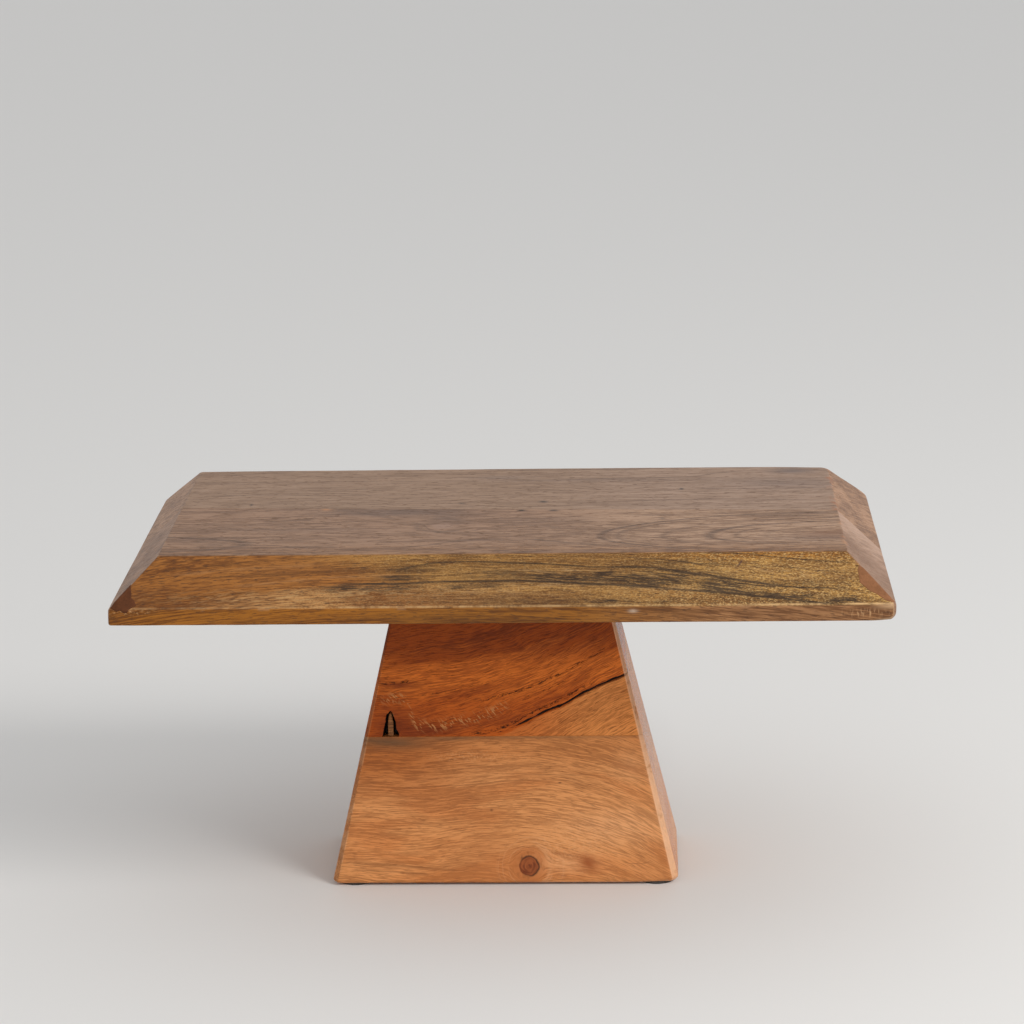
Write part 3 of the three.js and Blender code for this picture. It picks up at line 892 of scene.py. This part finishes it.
def lower_block_wood():
    """Orange wood that flows round a round knot, with silky cross ripples to the knot's right."""
    s = Shader("lower_block_wood")
    x, y, z = s.x, s.y, s.z
    edge = s.attribute("edge_mm")
    front = s.step(y, -10, -22)
    dx, dz = x - KNOT_X, z - KNOT_Z
    away2 = dx * dx + dz * dz
    wobble = s.noise(x / 4, z / 4, 0.0) - 0.5
    away = s.math("SQRT", away2) + wobble * 1.4
    flow = 1.0 - s.lower((KNOT_RADIUS * 1.5) ** 2 / (away2 + 1.0), 1.0)
    sag = s.curve(x, [(-100, 3), (-60, 0), (-20, 1.5), (20, 1.5), (40, -1), (60, -7), (82, -17), (100, -28)])
    wander = (s.noise(x / 60, y / 40, z / 30) - 0.5) * 9
    across = KNOT_Z + dz * flow - sag + wander
    grain = Grain(s, x, across, y, 34)
    colour = grain.shade((0.625, 0.255, 0.08), 0.6)
    redder = s.noise(x / 60, across / 14, y / 30, 2.0)
    colour.cover(grain.shade((0.56, 0.19, 0.048), 0.5), s.step(redder, 0.46, 0.66) * 0.7)
    colour.cover(grain.shade((0.56, 0.19, 0.042), 0.5), s.step(z, 60, 76) * 0.55)
    high_left = s.step(z, 38, 70) * s.step(x, 0, -60)
    colour.cover(grain.shade((0.42, 0.12, 0.02), 0.6), high_left * 0.95)
    smudge = s.spots(x, z, LOWER_SMUDGES) * front
    colour.cover((0.17, 0.075, 0.026), smudge * (0.5 + grain.streaks * 0.8))
    hatch = s.step(s.noise(x / 1.2, across / 1.2, y, 1.5), 0.5, 0.6)
    colour.cover((0.76, 0.37, 0.15), hatch * s.spots(x, z, SILKY_PATCHES) * front * 0.5)

    ripple = s.step(s.noise(away / 1.3, s.x / 12, 0.0), 0.54, 0.66) * s.step(away, 24, 14)
    colour.cover((0.76, 0.37, 0.16), ripple * s.step(away, 8, 11) * front * 0.55)
    colour.cover((0.42, 0.12, 0.026), s.step(away, 13, 7) * front * 0.6)
    lines = s.strokes(x, z + (grain.streaks - 0.5) * 2, LOWER_LINES) * front
    colour.cover((0.15, 0.052, 0.014), lines * (0.4 + grain.fibres * 0.8))
    colour.cover((0.2, 0.064, 0.018), grain.pores * 0.35)
    colour.cover(grain.shade((0.7, 0.34, 0.145), 0.5), s.spots(x, z, BRIGHT_PATCHES) * front)
    redder_spots = s.spots(x, z, [(84, 8, 22, 12, 0.4), (-12, 12, 22, 22, 0.45)])
    colour.cover((0.48, 0.165, 0.046), redder_spots * front)
    small = s.spot(x - SMALL_KNOT_X + (z - SMALL_KNOT_Z) * 0.4, z - SMALL_KNOT_Z, 4.6, 4.6) * front
    colour.cover((0.33, 0.085, 0.018), small * 0.9)
    knot = s.step(away, KNOT_RADIUS + 0.3, KNOT_RADIUS - 0.5) * front
    knot_tone = s.noise(away / 1.4, dx / 5, dz / 5, 2.0)
    colour.cover(s.ramp(knot_tone, [(0.38, (0.17, 0.036, 0.008)), (0.62, (0.33, 0.088, 0.022))]), knot)
    ring = s.hump(away - KNOT_RADIUS, 0.55) * front * s.step(dx + dz * 0.4, -5.5, 0.5)
    colour.cover((0.04, 0.012, 0.005), ring * 0.85)
    colour.cover((0.06, 0.022, 0.01), s.spots(x, z, LOWER_SPECKS) * front)
    # Pale lines along the edges: partly rubbed finish, partly painted highlight.
    colour.cover((0.86, 0.48, 0.24), edge_wear_and_highlight(s, edge, 0.5, 1.1) * 0.3)
    # Painted shade on the narrow corner faces.
    colour.cover((0.03, 0.005, 0.0), corner_painted_shade(s, 0.25, 0.25))
    # Painted highlight along the right-hand corners: a pale strip and a broken bright line.
    colour.cover(LIT_EDGE, corner_painted_highlight(s, edge, 0.06))
    return s.finish(colour, post_roughness(s, grain), grain.height(), specular=BOARD_SPECULAR)


def dowel_wood():
    s = Shader("dowel_wood")
    streak = s.noise(s.x / 0.7, s.y / 0.7, s.z / 14, 3.0, 0.6)
    fleck = s.step(s.noise(s.x / 0.5, s.y / 0.5, s.z / 2, 1.0), 0.62, 0.72)
    colour = s.ramp(streak, [(0.35, (0.52, 0.36, 0.19)), (0.65, (0.74, 0.56, 0.34))])
    colour.cover((0.4, 0.24, 0.11), fleck * 0.5)
    return s.finish(colour, 0.62, (streak - 0.5) * 0.08)


def filler(name, dark, light):
    """Smooth brown wood filler with a few darker grains in it."""
    s = Shader(name)
    cloud = s.noise(s.x / 5, s.y / 5, s.z / 5, 4.0, 0.6)
    grit = s.noise(s.x / 0.6, s.y / 0.6, s.z / 0.6, 2.0)
    colour = s.ramp(cloud * 0.7 + grit * 0.3, [(0.38, dark), (0.62, light)])
    colour.cover(tuple(0.3 * np.array(dark)), s.step(grit, 0.68, 0.74) * 0.6)
    return s.finish(colour, 0.55, (grit - 0.5) * 0.06 + (cloud - 0.5) * 0.25, specular=0.2)


def felt():
    s = Shader("felt")
    fuzz = s.noise(s.x / 0.5, s.y / 0.5, s.z / 0.5, 3.0, 0.7)
    colour = s.ramp(fuzz, [(0.35, (0.012, 0.01, 0.009)), (0.65, (0.045, 0.038, 0.033))])
    return s.finish(colour, 0.95, (fuzz - 0.5) * 0.2, sheen=0.5)


# --- The slab ---


def slab_inset(z, bevel):
    """How far a bevelled side has come in at each height."""
    return bevel * np.clip((z - BAND_TOP) / (SLAB_TOP - BAND_TOP), 0, 1)


def glue_line(x):
    return GLUE_LEFT_Y + (GLUE_RIGHT_Y - GLUE_LEFT_Y) * (x + SLAB_HALF_X) / (2 * SLAB_HALF_X)


def slab_radius(points):
    """The hand-sanded rounding of the slab's edges: fuller round the band's ends and one top corner."""
    radius = 1.1 + 0.35 * noise(points, 45, 11) + 0.2 * noise(points, 9, 12)
    from_end = SLAB_HALF_X - np.abs(points[:, 0])
    from_side = SLAB_HALF_Y - np.abs(points[:, 1])
    above_band = points[:, 2] - BAND_TOP
    low = smooth((7 - above_band) / 7)
    fuller = np.where(points[:, 0] > 0, 1.0, 0.2)
    at_corner = 1.8 * smooth((12 - from_end) / 12) + 1.4 * smooth((14 - from_end - from_side) / 14)
    radius += low * fuller * at_corner
    radius += 0.9 * smooth((5 - np.abs(above_band)) / 5) * smooth((-points[:, 0] - SLAB_HALF_X + 10) / 8)
    corner = np.array([SLAB_HALF_X - BEVEL_X, SLAB_HALF_Y - BEVEL_Y, SLAB_TOP])
    radius += 8.5 * near(points, corner, 22)
    radius += 2.5 * near(points, corner * [-1, 1, 1], 16)
    radius += 1.2 * near(points, corner * [1, -1, 1], 12)
    return np.clip(radius, 0.5, 10)


def board(name, side, material):
    us = graded(-SLAB_HALF_X, SLAB_HALF_X, 1.6, 0.45, 6) / SLAB_HALF_X
    vs = graded(0, SLAB_HALF_Y, 1.6, 0.45, 6) / SLAB_HALF_Y
    zs = graded(SLAB_BOTTOM, SLAB_TOP, 1.5, 0.4, 3.5, spots=[BAND_TOP])
    places, faces = box_grid((len(us), len(vs), len(zs)))
    z = zs[places[:, 2]]
    x = us[places[:, 0]] * (SLAB_HALF_X - slab_inset(z, BEVEL_X))
    outer = side * (SLAB_HALF_Y - slab_inset(z, BEVEL_Y))
    inner = glue_line(x) + side * GLUE_GAP / 2
    low_y, high_y = (outer, inner) if side == FRONT else (inner, outer)
    y = low_y + (high_y - low_y) * vs[places[:, 1]]
    points = np.stack([x, y, z], axis=1)
    edge = SLAB.edge_distance(points)
    points, out = SLAB.rounded(points, slab_radius(points))
    wave = 0.16 * (noise(points, 60, 21) - 1) + 0.04 * (noise(points, 7, 22) - 1)
    points = points + out * wave[:, None]
    return make_piece(name, points, faces.tolist(), material, {"edge_mm": edge})


# --- The pedestal ---


def post_radius(points):
    """The rounding of the pedestal's edges, full at its foot and fullest at the front right corner."""
    radius = 0.9 + 0.25 * noise(points, 30, 31) + 0.2 * noise(points, 7, 32)
    radius += 1.2 * smooth((POST_BASE + 6 - points[:, 2]) / 6)
    foot = np.array([POST_MIDDLE_X + POST_BASE_HALF[0], -POST_BASE_HALF[1], POST_BASE])
    radius += 1.5 * near(points, foot, 16)
    return np.clip(radius, 0.5, 8)


def block(name, bottom, top, material, seed, carve=None, spots_x=(), spots_z=()):
    """One block of the pedestal. carve gives the depth of the hollows in its front, at each point."""
    us = graded(-1, 1, 0.014, 0.0045, 0.05, spots=spots_x)
    vs = graded(-1, 1, 0.07, 0.014, 0.15)
    zs = graded(bottom, top, 1.1, 0.45, 4, spots=spots_z)
    places, faces = box_grid((len(us), len(vs), len(zs)))
    z = zs[places[:, 2]]
    half = POST_BASE_HALF[None, :] - POST_LEAN[None, :] * (z - POST_BASE)[:, None]
    x = POST_MIDDLE_X + us[places[:, 0]] * half[:, 0]
    y = vs[places[:, 1]] * half[:, 1]
    points = np.stack([x, y, z], axis=1)
    edge = POST.edge_distance(points)
    points, out = POST.rounded(points, post_radius(points))
    wave = 0.08 * (noise(points, 50, seed) - 1) + 0.03 * (noise(points, 7, seed + 1) - 1)
    points = points + out * wave[:, None]
    depth = carve(points) if carve else np.zeros(len(points))
    points[:, 1] += depth
    return make_piece(name, points, faces.tolist(), material, {"edge_mm": edge, "pit_mm": depth})


def upper_carving(points):
    """The knot hole and the drying crack in the front of the upper block: how deep, at each point."""
    x, _, z = points.T
    front = smooth((-points[:, 1] - 15) / 5)
    ragged = noise(points, 3, 71)
    below_top = np.clip((HOLE_TOP - z) / HOLE_HEIGHT, 0, 1)
    hole_half = HOLE_HALF_WIDTH * below_top**0.55 + 0.7 * ragged
    from_middle = np.abs(x - HOLE_MIDDLE_X)
    hole = smooth((hole_half - from_middle) / 0.6 + 0.5) * (z < HOLE_TOP)
    sliver_half = SPLINTER_HALF_WIDTH * np.clip((SPLINTER_TOP - z) / 6, 0, 1) ** 0.5
    sliver = smooth((sliver_half - from_middle) / 0.5 + 0.5)
    line_x, line_z = np.array(CRACK).T
    line = np.interp(x, line_x, line_z) + 0.5 * noise(points, 4, 72)
    width = np.clip(0.5 + 0.45 * noise(points, 5, 73), 0.15, 1.2)
    open_here = smooth(0.5 + noise(points, 7, 74) + (x - 5) / 30)
    crack = np.exp(-((z - line) / width) ** 2) * smooth((x + 22) / 16) * open_here
    depth = HOLE_DEPTH - (HOLE_DEPTH - SPLINTER_DEPTH) * sliver
    return front * np.maximum(hole * depth, crack * CRACK_DEPTH)


# --- Fillers, pads and dowels ---

# Outlines on the front bevel: (in from the slab's end, height above the bevel's lower edge).
LEFT_CHIP = [(4.2, 5.2), (1.2, 1.2), (3.4, 0.2), (5.0, -0.6), (6.6, 0.1), (8.8, -1.5), (10.4, -1.2),
             (11.2, 0.3), (14.8, 2.2), (13.6, 4.2), (12.2, 5.2), (11.8, 8.2), (11.0, 11.4), (10.4, 11.4)]
RIGHT_CHIP = [(0.9, 2.2), (4.8, 5.8), (10.2, 10.9), (16.2, 16.0), (18.8, 16.6), (19.3, 14.0), (18.6, 9.6),
              (14.4, 6.2), (9.6, 4.2), (5.6, 2.0), (2.0, 0.9)]
OUTLINE_STEP = 0.4
FILLER_DEPTH = 2.6
FILLER_RINGS = 12


def filler_outline(chip, side):
    """The chip's outline, walked in short steps with a slightly ragged edge."""
    corners = np.array([(side * (SLAB_HALF_X - inward), up) for inward, up in chip])
    ends = np.roll(corners, -1, axis=0)
    walk = []
    for corner, end in zip(corners, ends):
        shares = np.arange(0, 1, OUTLINE_STEP / np.linalg.norm(end - corner))
        walk.extend(corner + (end - corner) * share for share in shares)
    outline = np.array(walk)
    middle = corners.mean(axis=0)
    ragged = noise(np.column_stack([outline, np.zeros(len(outline))]), 2.5, 41)
    return middle, outline + (outline - middle) * 0.05 * ragged[:, None]


def filler_piece(name, chip, side, material):
    """A plug of wood filler, flush with the slab inside the chip's outline."""
    middle, outline = filler_outline(chip, side)
    shares = np.arange(1, FILLER_RINGS + 1) / FILLER_RINGS
    rings = [middle + share * (outline - middle) for share in shares]
    flat = np.concatenate([middle[None, :], *rings])
    rim = np.concatenate([[0.0], np.repeat(shares, len(outline))])
    outward = np.array([0, -1, 1]) / math.sqrt(2)
    ahead = 8.0
    lifted = np.column_stack([flat[:, 0], np.full(len(flat), -SLAB_HALF_Y), BAND_TOP + flat[:, 1]])
    lifted[:, 1] += np.maximum(flat[:, 1], 0) * BEVEL_Y / (SLAB_TOP - BAND_TOP)
    skin = SLAB.surface_below(lifted + ahead * outward, -outward, slab_radius)
    proud = 0.06 - 0.4 * smooth((rim - 0.9) / 0.1) + 0.05 * noise(skin, 5, 42)
    top = skin + outward * proud[:, None]
    top[:, 0] = np.clip(top[:, 0], -SLAB_HALF_X, SLAB_HALF_X)
    top[:, 1] = np.maximum(top[:, 1], -SLAB_HALF_Y)
    bottom = top - outward * FILLER_DEPTH
    count = len(outline)
    faces = []
    for i in range(count):
        j = (i + 1) % count
        faces.append((0, 1 + i, 1 + j))
        for ring in range(FILLER_RINGS - 1):
            inner, outer = 1 + ring * count, 1 + (ring + 1) * count
            faces.append((inner + i, outer + i, outer + j, inner + j))
    under = [tuple(len(top) + corner for corner in reversed(face)) for face in faces]
    last = 1 + (FILLER_RINGS - 1) * count
    wall = []
    for i in range(count):
        j = (i + 1) % count
        wall.append((last + i, last + i + len(top), last + j + len(top), last + j))
    return make_piece(name, np.concatenate([top, bottom]), faces + under + wall, material)


def dress_cad_nodes():
    """Finishes for the CAD pieces that are shown as they are: the dowels and the felt pads."""
    beech = dowel_wood()
    wool = felt()
    for name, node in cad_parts.items():
        if "dowel" in name or "felt" in name:
            node.data.materials.clear()
            node.data.materials.append(wool if "felt" in name else beech)


# --- Stage ---


def add_camera():
    """The photograph's viewing angle: a long lens from the front, a little above the slab."""
    data = bpy.data.cameras.new("camera")
    data.sensor_width = 36.0
    data.lens = 114.93
    camera = bpy.data.objects.new("camera", data)
    bpy.context.scene.collection.objects.link(camera)
    turn, dip, roll = math.radians(2.201), math.radians(14.99), math.radians(-1.038)
    aim = Matrix.Rotation(turn, 4, "Z") @ Matrix.Rotation(math.pi / 2 - dip, 4, "X")
    place = Matrix.Translation((0.0676, -1.6918, 0.6515))
    camera.matrix_world = place @ aim @ Matrix.Rotation(roll, 4, "Z")
    bpy.context.scene.camera = camera


def add_light(name, place, size, power, colour):
    data = bpy.data.lights.new(name, "AREA")
    data.shape = "DISK"
    data.size = size
    data.energy = power
    data.color = colour
    lamp = bpy.data.objects.new(name, data)
    lamp.location = place
    lamp.rotation_euler = (Vector((0, 0, 0.1)) - Vector(place)).to_track_quat("-Z", "Y").to_euler()
    bpy.context.scene.collection.objects.link(lamp)


def add_stage():
    """A wide pale floor, an even pale surround and one soft light from the right."""
    half = 12.0
    mesh = bpy.data.meshes.new("floor")
    corners = [(-half, -half, 0), (half, -half, 0), (half, half, 0), (-half, half, 0)]
    mesh.from_pydata(corners, [], [(0, 1, 2, 3)])
    floor = bpy.data.objects.new("floor", mesh)
    bpy.context.scene.collection.objects.link(floor)
    mesh.materials.append(Shader("floor_paint").finish((0.74, 0.74, 0.735), 0.9))
    world = bpy.data.worlds.new("studio")
    world.use_nodes = True
    surround = world.node_tree.nodes["Background"]
    surround.inputs["Color"].default_value = (0.72, 0.715, 0.71, 1.0)
    surround.inputs["Strength"].default_value = 1.0
    bpy.context.scene.world = world
    add_light("key", (1.5, -1.1, 1.5), 0.9, 26, (1.0, 0.97, 0.93))
    bpy.context.scene.view_settings.view_transform = "Standard"


# --- Assembly ---

add_camera()
add_stage()
board("front_board", FRONT, front_board_wood())
board("back_board", BACK, back_board_wood())
block("pedestal_upper_block", POST_JOINT, POST_TOP, upper_block_wood(), 51,
      upper_carving, spots_x=[-0.84, -0.81, -0.78, *np.arange(-0.1, 1.0, 0.04)], spots_z=range(83, 117, 2))
block("pedestal_lower_block", POST_BASE, POST_JOINT, lower_block_wood(), 61)
filler_piece("corner_filler_left", LEFT_CHIP, LEFT,
             filler("filler_dark", (0.072, 0.021, 0.005), (0.118, 0.036, 0.01)))
filler_piece("corner_filler_right", RIGHT_CHIP, RIGHT,
             filler("filler_red", (0.2, 0.082, 0.032), (0.29, 0.122, 0.052)))
dress_cad_nodes()
